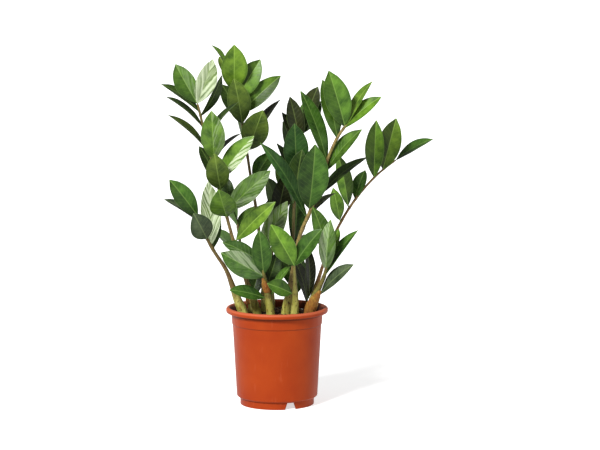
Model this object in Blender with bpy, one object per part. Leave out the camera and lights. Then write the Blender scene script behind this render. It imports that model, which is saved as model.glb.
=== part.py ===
"""A ZZ plant (Zamioculcas zamiifolia) in a 12 cm grower's pot.

Metres, +Z up; the front of the plant looks along -Y. The origin is on the surface the pot
stands on, under the middle of the plant's overall width and depth.
Every route and leaf below is given in millimetres from its own stem's root.
"""

import math
from collections import namedtuple

import bmesh
import bpy
from mathutils import Euler, Quaternion, Vector
from mathutils.bvhtree import BVHTree

MM = 0.001

# ---- pot
POT_HEIGHT = 115 * MM
RIM_DIAMETER = 120 * MM  # over the rolled lip
LIP_HEIGHT = 6 * MM
LIP_WIDTH = 4.5 * MM  # flat top of the lip, across
LIP_OVERHANG = 6.25 * MM  # how far the lip stands out over the body
BODY_BASE_DIAMETER = 96.4 * MM
POT_WALL = 1.2 * MM
LEDGE_DROP = 14 * MM  # nesting ledge, below the lip
LEDGE_STEP = 0.7 * MM
FOOT_INSET = 4.7 * MM  # how far the foot ring stands in from the body
FOOT_HEIGHT = 9 * MM
FOOT_WALL = 2.5 * MM
FLOOR = 1.6 * MM
NOTCH_TOP = 8.4 * MM
NOTCH_BOTTOM = 14 * MM
NOTCH_HEIGHT = 8 * MM
NOTCH_BEARINGS = (22, 142, 262)  # degrees from the front, towards +X
DRAIN_HOLE = 8 * MM
DRAIN_CIRCLE = 56 * MM
DRAIN_HOLES = 6

# ---- soil and what is in it
SOIL_DROP = 9 * MM  # soil surface below the rim
SOIL_GAP = 0.5 * MM  # between the soil and the pot
SOIL_CROWN = 3.5 * MM  # how much higher the soil is round the stems
SOIL_LUMP = 1.1 * MM
ROOTING_DEPTH = 26 * MM  # how far a stem goes down to its rhizome
SOCKET_GAP = 0.5 * MM  # between the soil and what is in it
RHIZOME_SIZE = (34 * MM, 28 * MM, 24 * MM)

# ---- stems
STEM_GROWTH = 1.0  # 1 is the plant as bought
STEM_BASE = 5.3 * MM  # radii
STEM_MIDDLE = 2.5 * MM
STEM_TIP = 1.3 * MM
SWELLING = 30 * MM  # height over which the swollen base fades
STEM_SIDES = 8
STEM_STEP = 14 * MM  # between rings of the stem's mesh

# ---- leaves
LEAF_GROWTH = 1.0
LEAF_THICKNESS = 1.3 * MM  # at the midrib
LEAF_STALK = 0.9 * MM  # radius of the short stalk
LEAF_FOLD = 0.26  # rise of the margin per unit of half width
LEAF_BOW = 0.06  # arch of the midrib, as a share of the leaf's length
LEAF_PLACES = (0, 0.06, 0.15, 0.28, 0.44, 0.6, 0.75, 0.87, 0.95)  # rings along the leaf
BLADE_RING = 3  # from this ring on, leaves that are one piece with a stem clear it and each other
STALK_GAP = 0.6 * MM  # a single leaf's stalk stops this far off its stem
CLEARANCE = 0.35 * MM  # kept between leaves, and between leaves and stems

# ---- dry sheaths at the foot of some stems
SHEATH_GAP = 0.7 * MM
SHEATH_WALL = 0.7 * MM

Leaf = namedtuple("Leaf", "at reach width turn")
# at: place on the stem, counted in route points from the root
# reach: from the stem to the leaf's tip, in mm
# width: across the blade, in mm
# turn: degrees about the leaf's own length, 0 where its upper face looks to the front

Frond = namedtuple("Frond", "root route girth joined leaves")
# root: where it leaves the soil, as shares of the soil's radius
# route: points above the root, in mm; girth: thickness against the other stems
# joined: how many leaves, counted from the tip, are one piece with the stem

FRONDS = {
    "a": Frond(
        (-0.75, -0.18),
        ((-8, -4, 20), (-20, -12, 55), (-31, -17, 73), (-43, -22, 95), (-53, -26, 121)),
        1.2,
        3,
        (
            Leaf(5.0, (-32, -6, 43), 23, 18),
            Leaf(4.7, (-42, 4, 27), 21, 70),
            Leaf(3.6, (-3, 8, 74), 25, 18),
            Leaf(4.0, (-14, -27, 33), 27, 12),
            Leaf(3.4, (-6, 34, 50), 20, 160),
        ),
    ),
    "b": Frond(
        (-0.44, -0.1),
        ((-12, -6, 38), (-28, -14, 90), (-43, -22, 149), (-53, -28, 190), (-62, -33, 226), (-68, -36, 252)),
        1.0,
        6,
        (
            Leaf(6.0, (-25, 0, 45), 25, -6),
            Leaf(6.0, (18, -5, 51), 24, 16),
            Leaf(5.6, (-44, 0, 32), 20, 66),
            Leaf(5.4, (24, 14, 46), 18, 56),
            Leaf(4.9, (-43, -4, 37), 21, 78),
            Leaf(4.5, (37, 7, 44), 20, -74),
            Leaf(4.2, (-45, 2, 41), 22, 76),
            Leaf(3.9, (31, 18, 28), 18, -76),
            Leaf(3.9, (-2, -18, 58), 28, 4),
            Leaf(3.3, (40, -10, 51), 25, -32),
            Leaf(3.1, (-22, 14, 46), 22, 44),
            Leaf(3.05, (-6, -22, 44), 27, 2),
            Leaf(2.65, (2, 20, 32), 16, 160),
            Leaf(2.6, (50, -20, 48), 26, -12),
            Leaf(2.5, (-8, -34, 35), 31, 0),
            Leaf(2.0, (46, -16, 47), 22, -26),
        ),
    ),
    "c": Frond(
        (-0.28, 0.16),
        ((-2, 4, 44), (-9, 10, 113), (-17, 16, 161), (-24, 20, 207), (-32, 22, 246), (-46, 22, 291)),
        0.95,
        6,
        (
            Leaf(6.0, (-17, 4, 24), 18, 76),
            Leaf(5.6, (-14, 14, 28), 17, 50),
            Leaf(5.35, (1, -15, 55), 31, 6),
            Leaf(5.1, (28, 0, 48), 27, -8),
            Leaf(4.7, (48, 2, 45), 23, -18),
            Leaf(0.6, (16, 10, 48), 20, -20),
            Leaf(4.5, (-22, 16, 42), 24, 30),
            Leaf(4.4, (-9, -18, 54), 28, 12),
            Leaf(3.7, (37, 16, 56), 21, -60),
            Leaf(3.65, (17, -14, 48), 32, -4),
            Leaf(3.5, (-12, 26, 42), 22, 120),
            Leaf(2.85, (22, 14, 34), 24, -40),
            Leaf(1.45, (29, -26, 61), 25, -12),
        ),
    ),
    "d": Frond(
        (0.2, -0.2),
        ((7, -6, 45), (16, -14, 95), (30, -20, 129), (46, -28, 180), (58, -32, 210), (71, -34, 229)),
        1.15,
        5,
        (
            Leaf(6.0, (29, 10, 48), 18, -56),
            Leaf(5.7, (43, 0, 36), 22, -34),
            Leaf(5.8, (-19, -10, 65), 30, 8),
            Leaf(5.1, (-17, 0, 67), 24, 24),
            Leaf(4.1, (-30, 6, 82), 22, 36),
            Leaf(3.9, (40, -8, 48), 24, -26),
            Leaf(3.3, (57, 18, 44), 20, -60),
            Leaf(3.0, (7, -26, 77), 36, -2),
            Leaf(2.9, (28, 20, 20), 18, -72),
            Leaf(2.75, (-52, -14, 86), 24, 50),
        ),
    ),
    "e": Frond(
        (0.74, 0.2),
        ((12, 6, 43), (27, 14, 85), (46, 22, 120), (68, 30, 148), (86, 36, 165), (104, 40, 178)),
        0.85,
        4,
        (
            Leaf(6.0, (43, -6, 25), 20, -62),
            Leaf(5.1, (15, -9, 62), 28, -6),
            Leaf(4.5, (2, -8, 69), 23, -10),
            Leaf(3.4, (12, 17, 33), 18, -20),
            Leaf(3.1, (-12, -10, 62), 20, 18),
            Leaf(2.6, (-8, -14, 40), 17, 10),
            Leaf(1.9, (-8, 28, 28), 18, 60),
        ),
    ),
    "f": Frond(
        (0.34, 0.4),
        ((1, 8, 64), (3, 22, 133), (8, 36, 188), (17, 46, 226)),
        0.95,
        10,
        (
            Leaf(4.0, (14, -4, 38), 20, -14),
            Leaf(3.5, (22, 4, 38), 20, -16),
            Leaf(3.6, (4, 36, 34), 20, 172),
            Leaf(3.2, (-12, -4, 56), 21, 12),
            Leaf(3.0, (-20, 0, 46), 18, 44),
            Leaf(2.8, (-18, 36, 42), 22, 160),
            Leaf(2.5, (-2, -16, 60), 30, 6),
            Leaf(0.75, (14, 8, 44), 20, -20),
            Leaf(0.5, (-10, 6, 52), 22, 20),
            Leaf(0.3, (12, -4, 50), 18, 30),
            Leaf(2.3, (-19, 6, 46), 20, 36),
            Leaf(2.1, (8, -8, 52), 24, -10),
            Leaf(2.0, (24, 40, 40), 23, -150),
            Leaf(1.9, (-9, -6, 48), 14, 56),
            Leaf(1.2, (3, -14, 58), 26, 4),
        ),
    ),
    "g": Frond(
        (0.73, -0.27),
        ((5, -4, 20), (17, -14, 47), (23, -22, 72)),
        1.1,
        4,
        (
            Leaf(3.0, (-19, 5, 60), 22, 26),
            Leaf(3.0, (12, 15, 32), 17, -36),
            Leaf(2.4, (5, -12, 62), 20, -40),
            Leaf(2.1, (39, -6, 55), 20, -60),
            Leaf(1.4, (38, -22, 38), 21, -54),
            Leaf(1.0, (-3, -12, 66), 17, 44),
            Leaf(0.7, (-16, 10, 52), 20, 26),
        ),
    ),
    "h": Frond(
        (0.4, -0.42),
        ((1, -8, 27), (0, -20, 64)),
        1.0,
        2,
        (
            Leaf(2.0, (-27, -15, 50), 27, 6),
            Leaf(2.0, (32, -8, 44), 23, -34),
            Leaf(1.1, (-28, -14, 14), 20, 30),
        ),
    ),
    "i": Frond(
        (-0.14, -0.34),
        ((-4, -8, 32), (-8, -14, 52), (-15, -20, 78)),
        1.0,
        3,
        (
            Leaf(2.6, (-44, 8, 22), 20, 40),
            Leaf(2.0, (-5, -12, 54), 23, 4),
            Leaf(1.9, (-50, -14, 30), 28, 32),
            Leaf(0.85, (22, -9, 34), 15, -48),
            Leaf(0.75, (-40, -13, 11), 19, 44),
        ),
    ),
    "j": Frond(
        (-0.56, 0.22),
        ((-6, 14, 32), (-14, 32, 70), (-20, 50, 104)),
        1.0,
        4,
        (
            Leaf(3.0, (-24, 20, 38), 21, 150),
            Leaf(2.8, (-36, 16, 36), 22, 110),
            Leaf(2.4, (18, 38, 34), 22, -164),
            Leaf(0.5, (12, 14, 40), 18, -30),
            Leaf(1.8, (-34, 28, 30), 24, 130),
        ),
    ),
    "k": Frond(
        (-0.14, 0.52),
        ((0, 14, 60), (6, 30, 107), (12, 46, 140)),
        0.95,
        4,
        (
            Leaf(3.0, (6, 14, 46), 22, 176),
            Leaf(2.7, (34, 22, 34), 22, -130),
            Leaf(2.0, (12, -8, 56), 24, 8),
            Leaf(2.2, (-14, 34, 38), 22, 156),
            Leaf(1.6, (-4, -6, 42), 19, -12),
        ),
    ),
}

RHIZOMES = {"rhizome_left": "b", "rhizome_right": "h", "rhizome_back": "k"}  # and the stem each is under

Sheath = namedtuple("Sheath", "frond start height spread bearing")
# start: height of its foot above the soil round its stem; bearing: degrees from the front, towards +X

SHEATHS = {
    "sheath_right": Sheath("g", 0.3 * MM, 33 * MM, 100, -20),
    "sheath_middle": Sheath("i", 27 * MM, 19 * MM, 75, 20),
    "sheath_left": Sheath("j", 5 * MM, 14 * MM, 75, 5),
}
SHEATH_FLARE = 2.2 * MM

# ---- colours (linear) and roughness
TERRACOTTA = (0.43, 0.075, 0.022), 0.45
SOIL_BROWN = (0.035, 0.021, 0.014), 0.95
RHIZOME_BROWN = (0.30, 0.20, 0.10), 0.7
STEM_OLIVE = (0.22, 0.22, 0.06), 0.5
LEAF_GREEN = (0.06, 0.17, 0.03), 0.3
SHEATH_ORANGE = (0.45, 0.22, 0.06), 0.75


def clear_scene():
    for item in list(bpy.data.objects):
        bpy.data.objects.remove(item, do_unlink=True)


def finish(item, colour, roughness):
    """Give a piece its own Principled material and smooth shading."""
    material = bpy.data.materials.new(item.name)
    material.use_nodes = True
    shader = material.node_tree.nodes["Principled BSDF"]
    shader.inputs["Base Color"].default_value = (*colour, 1)
    shader.inputs["Roughness"].default_value = roughness
    shader.inputs["Metallic"].default_value = 0
    item.data.materials.append(material)
    item.data.shade_smooth()
    item.data.set_sharp_from_angle(angle=math.radians(40))


def add_object(name, bm, parent=None):
    bm.normal_update()
    bmesh.ops.recalc_face_normals(bm, faces=bm.faces)
    mesh = bpy.data.meshes.new(name)
    bm.to_mesh(mesh)
    bm.free()
    item = bpy.data.objects.new(name, mesh)
    item.parent = parent
    bpy.context.scene.collection.objects.link(item)
    return item


def as_cutter(item):
    """A helper shape, used by a Boolean and left out of the part."""
    item.hide_render = True
    item.display_type = "WIRE"
    return item


def combine(item, other, operation):
    modifier = item.modifiers.new(other.name, "BOOLEAN")
    modifier.operation = operation
    modifier.solver = "EXACT"
    modifier.object = as_cutter(other)


def loft(rings, tip=None):
    """A closed mesh through rings of points, capped at the first and at the last, or at a tip."""
    bm = bmesh.new()
    loops = [[bm.verts.new(point) for point in ring] for ring in rings]
    count = len(loops[0])
    for near, far in zip(loops, loops[1:]):
        for i in range(count):
            j = (i + 1) % count
            bm.faces.new((near[i], near[j], far[j], far[i]))
    bm.faces.new(loops[0][::-1])
    if tip is None:
        bm.faces.new(loops[-1])
        return bm
    end = bm.verts.new(tip)
    for i in range(count):
        bm.faces.new((loops[-1][i], loops[-1][(i + 1) % count], end))
    return bm


def turned(profile, segments):
    """A solid of revolution about Z from a closed outline of (radius, height) points."""
    bm = bmesh.new()
    points = [bm.verts.new((radius, 0, height)) for radius, height in profile]
    edges = [bm.edges.new((a, b)) for a, b in zip(points, points[1:])]
    bmesh.ops.spin(
        bm, geom=points + edges, cent=(0, 0, 0), axis=(0, 0, 1), angle=math.tau, steps=segments
    )
    bmesh.ops.remove_doubles(bm, verts=bm.verts, dist=0.01 * MM)
    return bm


# ---- the pot


def body_radius(height):
    """Outside radius of the pot's straight wall, without its ledge."""
    top = POT_HEIGHT - LIP_HEIGHT
    share = (height - FOOT_HEIGHT) / (top - FOOT_HEIGHT)
    shoulder = RIM_DIAMETER - 2 * LIP_OVERHANG
    return (BODY_BASE_DIAMETER + (shoulder - BODY_BASE_DIAMETER) * share) / 2


def foot_radius():
    return BODY_BASE_DIAMETER / 2 - FOOT_INSET


def inner_radius(height):
    return body_radius(height) - POT_WALL - LEDGE_STEP


def pot_profile():
    rim = RIM_DIAMETER / 2
    foot = foot_radius()
    lip = POT_HEIGHT - LIP_HEIGHT
    ledge = lip - LEDGE_DROP
    floor = FOOT_HEIGHT + FLOOR
    soft = 0.25 * LIP_HEIGHT  # rounding of the lip
    chamfer = 1.5 * MM
    return (
        (0, FOOT_HEIGHT),
        (foot - FOOT_WALL, FOOT_HEIGHT),
        (foot - FOOT_WALL, 0),
        (foot, 0),
        (foot, FOOT_HEIGHT),
        (body_radius(FOOT_HEIGHT) - LEDGE_STEP - chamfer, FOOT_HEIGHT),
        (body_radius(FOOT_HEIGHT + chamfer) - LEDGE_STEP, FOOT_HEIGHT + chamfer),
        (body_radius(ledge) - LEDGE_STEP, ledge),
        (body_radius(ledge), ledge + LEDGE_STEP),
        (body_radius(lip), lip),
        (rim - soft / 2, lip),
        (rim, lip + soft),
        (rim, POT_HEIGHT - soft),
        (rim - soft, POT_HEIGHT),
        (rim - LIP_WIDTH + soft / 2, POT_HEIGHT),
        (rim - LIP_WIDTH, POT_HEIGHT - soft / 2),
        (inner_radius(lip), lip - soft),
        (inner_radius(floor + chamfer), floor + chamfer),
        (inner_radius(floor) - chamfer, floor),
        (0, floor),
    )


def bearing_direction(bearing):
    """A level direction, in degrees from the front (-Y) towards +X."""
    angle = math.radians(bearing)
    return Vector((math.sin(angle), -math.cos(angle), 0))


def notch_cutter(bearing, parent):
    """A trapezium through the foot ring, open at the bottom."""
    outward = bearing_direction(bearing)
    across = Vector((-outward.y, outward.x, 0))
    below = 1 * MM
    slope = (NOTCH_BOTTOM - NOTCH_TOP) / 2 / NOTCH_HEIGHT
    rings = []
    for distance in (foot_radius() - 2 * FOOT_WALL, foot_radius() + FOOT_WALL):
        ring = []
        for side, height in ((-1, -below), (1, -below), (1, NOTCH_HEIGHT), (-1, NOTCH_HEIGHT)):
            half = NOTCH_TOP / 2 + slope * (NOTCH_HEIGHT - height)
            ring.append(outward * distance + across * side * half + Vector((0, 0, height)))
        rings.append(ring)
    return add_object(f"cut_notch_{bearing}", loft(rings), parent)


def drain_cutter(number, parent):
    bm = bmesh.new()
    bmesh.ops.create_cone(
        bm, cap_ends=True, segments=16, radius1=DRAIN_HOLE / 2, radius2=DRAIN_HOLE / 2, depth=4 * FLOOR
    )
    cutter = add_object(f"cut_drain_{number}", bm, parent)
    place = bearing_direction(360 * number / DRAIN_HOLES) * DRAIN_CIRCLE / 2
    cutter.location = place + Vector((0, 0, FOOT_HEIGHT + FLOOR / 2))
    return cutter


def make_pot(parent):
    pot = add_object("pot", turned(pot_profile(), 64), parent)
    for bearing in NOTCH_BEARINGS:
        combine(pot, notch_cutter(bearing, parent), "DIFFERENCE")
    for number in range(DRAIN_HOLES):
        combine(pot, drain_cutter(number, parent), "DIFFERENCE")
    finish(pot, *TERRACOTTA)


# ---- stems

SOIL_LEVEL = POT_HEIGHT - SOIL_DROP


def soil_radius():
    return inner_radius(SOIL_LEVEL) - SOIL_GAP


def stem_route(frond):
    """The stem's points, from its foot in the soil, through its root at soil level, to its tip."""
    root = Vector((*frond.root, 0)) * soil_radius() + Vector((0, 0, SOIL_LEVEL))
    points = [root + Vector(step) * MM * STEM_GROWTH for step in ((0, 0, 0), *frond.route)]
    return [root - Vector((0, 0, ROOTING_DEPTH))] + points


def on_route(points, at):
    """A point on the smooth curve through points; at 0 is the root, -1 the foot."""
    place = min(max(at + 1, 0), len(points) - 1)
    i = min(int(place), len(points) - 2)
    t = place - i
    near, far = points[i], points[i + 1]
    before = points[i - 1] if i > 0 else near * 2 - far
    after = points[i + 2] if i + 2 < len(points) else far * 2 - near
    return (
        near * 2
        + (far - before) * t
        + (before * 2 - near * 5 + far * 4 - after) * t**2
        + (near * 3 - before - far * 3 + after) * t**3
    ) / 2


def stem_direction(points, at):
    last = len(points) - 2
    return (on_route(points, min(at + 0.05, last)) - on_route(points, max(at - 0.05, -1))).normalized()


def stem_radius(frond, points, at):
    """Swollen at the soil and finer towards the tip."""
    height = max(on_route(points, at).z - SOIL_LEVEL, 0)
    share = max(at, 0) / len(frond.route)
    plain = STEM_TIP + (STEM_MIDDLE - STEM_TIP) * (1 - share)
    return frond.girth * (plain + (STEM_BASE - plain) * math.exp(-((height / SWELLING) ** 2)))


def stem_axes(points, at):
    along = stem_direction(points, at)
    across = along.cross(Vector((0, 1, 0))).normalized()
    return across, across.cross(along)


def stem_ring(frond, points, at, extra=0.0):
    across, deep = stem_axes(points, at)
    radius = stem_radius(frond, points, at) + extra
    centre = on_route(points, at)
    angles = [math.tau * i / STEM_SIDES for i in range(STEM_SIDES)]
    return [centre + (across * math.cos(a) + deep * math.sin(a)) * radius for a in angles]


def stem_places(points):
    """Evenly spaced places along the route."""
    last = len(points) - 2
    places = []
    for i in range(last + 1):
        length = (points[i + 1] - points[i]).length
        parts = max(1, round(length / STEM_STEP))
        places += [i - 1 + part / parts for part in range(parts)]
    return places + [last]


def stem_mesh(frond, extra=0.0):
    points = stem_route(frond)
    return loft([stem_ring(frond, points, at, extra) for at in stem_places(points)])


# ---- leaves


def blade_outline(share):
    """Half width along the leaf, as a share of the widest: a long oval with a short point."""
    return math.sin(math.pi * share**1.05) ** 0.72


def leaf_axes(reach, turn):
    """The leaf's direction, the way across its blade and the way its upper face looks."""
    along = reach.normalized()
    across = Vector((along.z, 0, -along.x)).normalized()
    spin = Quaternion(along, math.radians(turn))
    across = spin @ across
    return along, across, across.cross(along)


def leaf_rings(base, reach, width, turn, swell=0.0):
    """Rings of four points: margin, midrib above, other margin, midrib below."""
    _, across, face = leaf_axes(reach, turn)
    rings = []
    for share in LEAF_PLACES:
        centre = base + reach * share + face * reach.length * LEAF_BOW * 4 * share * (1 - share)
        half = max(width / 2 * blade_outline(share), LEAF_STALK) + swell
        thick = max(LEAF_THICKNESS / 2 * (1 - 0.5 * share), LEAF_STALK * (1 - 6 * share)) + swell
        lift = face * LEAF_FOLD * (half - LEAF_STALK)
        rings.append(
            [
                centre - across * half + lift,
                centre + face * thick,
                centre + across * half + lift,
                centre - face * thick,
            ]
        )
    return rings


def leaf_mesh(base, reach, width, turn, swell=0.0, first_ring=0):
    tip = base + reach * (1 + swell / reach.length)
    return loft(leaf_rings(base, reach, width, turn, swell)[first_ring:], tip)


def tree_of(bm):
    tree = BVHTree.FromBMesh(bm)
    bm.free()
    return tree


def lean_choices():
    """Ways a leaf can give way: first none, then further forward or back with a little turn."""
    for lean in range(0, 68, 4):
        for side in (1, -1) if lean else (1,):
            for turn in (0, 12, -12, 26, -26):
                yield lean * side * MM, turn


def settle(leaf, base_of, taken, beside):
    """The leaf's place once it leans clear of all that grew before it, and its blade of those beside it."""
    best = None
    for lean, turn in lean_choices():
        reach = Vector(leaf.reach) * MM * LEAF_GROWTH + Vector((0, lean, 0))
        shape = base_of(reach), reach, leaf.width * MM * LEAF_GROWTH, leaf.turn + turn
        tree = tree_of(leaf_mesh(*shape, swell=CLEARANCE))
        blade = tree_of(leaf_mesh(*shape, swell=CLEARANCE, first_ring=BLADE_RING))
        touching = sum(len(tree.overlap(other)) for other in taken)
        touching += sum(len(blade.overlap(other)) for other in beside)
        if touching == 0:
            return shape
        if best is None or touching < best[0]:
            best = touching, shape
    return best[1]


def stalk_base(frond, points, leaf, reach, joined):
    """Inside the stem for a leaf that is one piece with it, else just off its side."""
    centre = on_route(points, leaf.at)
    if joined:
        return centre
    along = stem_direction(points, leaf.at)
    outward = (reach - along * reach.dot(along)).normalized()
    return centre + outward * (stem_radius(frond, points, leaf.at) + LEAF_STALK + STALK_GAP)


def make_fronds(parent):
    stems = {}
    bodies = {}
    for letter, frond in FRONDS.items():
        stems[letter] = add_object(f"stem_{letter}", stem_mesh(frond), parent)
        bodies[letter] = tree_of(stem_mesh(frond))
    grown = [("", tree_of(sheath_mesh(sheath))) for sheath in SHEATHS.values()]
    for joined in (True, False):
        for letter, frond in FRONDS.items():
            leaves = frond.leaves[: frond.joined] if joined else frond.leaves[frond.joined :]
            points = stem_route(frond)
            taken = [body for other, body in bodies.items() if other != letter or not joined]
            beside = [bodies[letter]] if joined else []
            for number, leaf in enumerate(leaves, start=1):
                shape = settle(
                    leaf,
                    lambda reach: stalk_base(frond, points, leaf, reach, joined),
                    taken + [tree for owner, tree in grown if owner != letter or not joined],
                    beside,
                )
                if joined:
                    beside.append(tree_of(leaf_mesh(*shape, first_ring=BLADE_RING)))
                grown.append((letter, tree_of(leaf_mesh(*shape))))
                kind = "tip_leaf" if joined else "leaf"
                item = add_object(f"{kind}_{letter}{number}", leaf_mesh(*shape), parent)
                if joined:
                    combine(stems[letter], item, "UNION")
                else:
                    finish(item, *LEAF_GREEN)
    for stem in stems.values():
        finish(stem, *STEM_OLIVE)


# ---- sheaths


def ground_round(root, reach):
    """The highest soil within reach of a stem's root."""
    heights = []
    for distance in (reach / 2, reach):
        for step in range(12):
            angle = math.tau * step / 12
            x = root.x + distance * math.cos(angle)
            y = root.y + distance * math.sin(angle)
            heights.append(soil_height(x, y))
    return max(heights)


def sheath_foot(sheath, frond, points):
    """The height of the sheath's lowest row, which tilts with the stem, clear of the soil."""
    reach = stem_radius(frond, points, 0) + SHEATH_GAP + SHEATH_WALL
    dip = reach * math.sqrt(1 - stem_direction(points, 0).z ** 2)
    return ground_round(points[1], reach) + dip + sheath.start


def sheath_mesh(sheath):
    """A thin shell wrapped part of the way round a stem, narrowing to a point at its top."""
    frond = FRONDS[sheath.frond]
    points = stem_route(frond)
    foot = sheath_foot(sheath, frond, points)
    rows = 7
    columns = 8
    bm = bmesh.new()
    layers = []
    for depth in (0, SHEATH_WALL):
        layer = []
        for row in range(rows):
            share = row / (rows - 1)
            at = place_at_height(points, foot + sheath.height * share)
            across, deep = stem_axes(points, at)
            flare = SHEATH_FLARE * math.sin(0.5 * math.pi * share)
            radius = stem_radius(frond, points, at) + SHEATH_GAP + flare + depth
            centre = on_route(points, at)
            spread = math.radians(sheath.spread) * (1 - 0.88 * share**1.6)
            line = []
            for column in range(columns + 1):
                angle = math.radians(sheath.bearing) + spread * (2 * column / columns - 1)
                out = across * math.sin(angle) + deep * -math.cos(angle)
                line.append(bm.verts.new(centre + out * radius))
            layer.append(line)
        layers.append(layer)
    inner, outer = layers
    for row in range(rows - 1):
        for column in range(columns):
            for layer, flip in ((inner, -1), (outer, 1)):
                quad = [layer[row][column], layer[row][column + 1]]
                quad += [layer[row + 1][column + 1], layer[row + 1][column]]
                bm.faces.new(quad[::flip])
    border = [(row, 0) for row in range(rows)] + [(rows - 1, c) for c in range(1, columns + 1)]
    border += [(row, columns) for row in range(rows - 2, -1, -1)]
    border += [(0, column) for column in range(columns - 1, 0, -1)]
    for (r0, c0), (r1, c1) in zip(border, border[1:] + border[:1]):
        bm.faces.new((inner[r0][c0], inner[r1][c1], outer[r1][c1], outer[r0][c0]))
    return bm


def place_at_height(points, height):
    """The place on a rising route at a height, by halving."""
    low, high = -1.0, len(points) - 2.0
    for _ in range(24):
        middle = (low + high) / 2
        if on_route(points, middle).z < height:
            low = middle
        else:
            high = middle
    return low


def make_sheaths(parent):
    for name, sheath in SHEATHS.items():
        finish(add_object(name, sheath_mesh(sheath), parent), *SHEATH_ORANGE)


# ---- soil and rhizomes


def rhizome_place(letter):
    """The rhizome's crown is right under its stem's foot."""
    foot = stem_route(FRONDS[letter])[0]
    return foot - Vector((0, 0, RHIZOME_SIZE[2] / 2 + SOCKET_GAP))


def rhizome_mesh(letter, extra=0.0):
    """A potato-like lump with a few swellings."""
    bm = bmesh.new()
    bmesh.ops.create_icosphere(bm, subdivisions=2, radius=1)
    twist = Euler((0, 0, math.radians(40 * (ord(letter) % 5))))
    for vert in bm.verts:
        unit = vert.co.normalized()
        lump = 1 - 0.07 * (1 - unit.z) * (1 + math.sin(4 * unit.x + 3 * unit.y + ord(letter)))
        size = Vector([side / 2 * lump + extra for side in RHIZOME_SIZE])
        place = Vector([a * b for a, b in zip(unit, size)])
        place.rotate(twist)
        vert.co = rhizome_place(letter) + place
    return bm


def soil_height(x, y):
    """Crowned round the stems, a little lumpy, and level at the wall."""
    share = min(math.hypot(x, y) / soil_radius(), 1)
    ease = 1 - share**3
    lump = math.sin(210 * x + 1.3) * math.cos(170 * y) + 0.6 * math.sin(320 * y - 240 * x)
    return SOIL_LEVEL + ease * (SOIL_CROWN * (1 - share) + SOIL_LUMP * lump)


def soil_mesh():
    bottom = FOOT_HEIGHT + FLOOR + SOIL_GAP
    rings = 6
    corner = 1.5 * MM
    profile = [(0, bottom), (inner_radius(bottom) - SOIL_GAP - 2 * corner, bottom)]
    profile += [(inner_radius(bottom + corner) - SOIL_GAP, bottom + 2 * corner)]
    profile += [(soil_radius() * (rings - i) / rings, SOIL_LEVEL) for i in range(rings + 1)]
    bm = turned(profile, 40)
    for vert in bm.verts:
        if vert.co.z > SOIL_LEVEL - 0.01 * MM:
            vert.co.z = soil_height(vert.co.x, vert.co.y)
    return bm


def socket_mesh(frond):
    """The stem's foot and swollen base, with room round them and below."""
    points = stem_route(frond)
    rings = []
    for at in stem_places(points):
        rings.append(stem_ring(frond, points, at, SOCKET_GAP))
        if on_route(points, at).z > SOIL_LEVEL + 2 * SOIL_CROWN:
            break
    below = [point - Vector((0, 0, 3 * SOCKET_GAP)) for point in rings[0]]
    return loft([below] + rings)


def make_soil(parent):
    soil = add_object("soil", soil_mesh(), parent)
    for name, letter in RHIZOMES.items():
        room = add_object(f"cut_{name}", rhizome_mesh(letter, SOCKET_GAP), parent)
        combine(soil, room, "DIFFERENCE")
        finish(add_object(name, rhizome_mesh(letter), parent), *RHIZOME_BROWN)
    for letter, frond in FRONDS.items():
        combine(soil, add_object(f"cut_socket_{letter}", socket_mesh(frond), parent), "DIFFERENCE")
    finish(soil, *SOIL_BROWN)


def middle_of(items):
    """The middle of the pieces' overall width and depth, as they are placed now."""
    corners = [vert.co for item in items for vert in item.data.vertices]
    sides = [[corner[i] for corner in corners] for i in (0, 1)]
    return Vector((*((min(side) + max(side)) / 2 for side in sides), 0))


def main():
    clear_scene()
    plant = bpy.data.objects.new("potted_zz_plant", None)
    bpy.context.scene.collection.objects.link(plant)
    make_pot(plant)
    make_soil(plant)
    make_sheaths(plant)
    make_fronds(plant)
    grown = [item for item in bpy.data.objects if item.name.startswith(("pot", "stem", "leaf", "tip_leaf"))]
    plant.location = -middle_of([item for item in grown if item.type == "MESH"])
    bpy.context.view_layer.update()


main()
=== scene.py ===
"""The looks of a potted ZZ plant: fine leaves, stems, sheaths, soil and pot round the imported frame.

The frame's plain leaves and stems say where everything is. Each one is read back from its mesh
and grown again here with a real leaf's or stem's surface. Metres, +Z up, the front towards -Y.
"""

import math
import random
from collections import namedtuple

import bmesh
import bpy
import numpy as np
from mathutils import Matrix, Vector, noise
from mathutils.bvhtree import BVHTree


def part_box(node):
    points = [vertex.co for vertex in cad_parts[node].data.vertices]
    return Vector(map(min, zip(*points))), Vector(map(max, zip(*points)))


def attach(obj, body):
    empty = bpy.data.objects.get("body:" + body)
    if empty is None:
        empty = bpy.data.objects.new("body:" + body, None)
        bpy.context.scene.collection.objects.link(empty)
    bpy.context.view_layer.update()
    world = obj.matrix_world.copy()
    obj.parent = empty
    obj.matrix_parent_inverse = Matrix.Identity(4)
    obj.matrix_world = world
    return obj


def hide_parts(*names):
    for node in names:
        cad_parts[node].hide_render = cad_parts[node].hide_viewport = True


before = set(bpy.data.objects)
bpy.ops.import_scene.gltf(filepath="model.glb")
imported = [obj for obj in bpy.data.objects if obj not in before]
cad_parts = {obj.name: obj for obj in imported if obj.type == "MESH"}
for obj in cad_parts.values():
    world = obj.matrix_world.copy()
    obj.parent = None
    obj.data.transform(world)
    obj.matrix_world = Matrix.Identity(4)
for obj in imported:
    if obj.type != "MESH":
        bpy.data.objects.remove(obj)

MM = 0.001
UP = Vector((0, 0, 1))
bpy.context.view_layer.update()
WELD = 0.002 * MM

STEM_LETTERS = "abcdefghijk"

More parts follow.
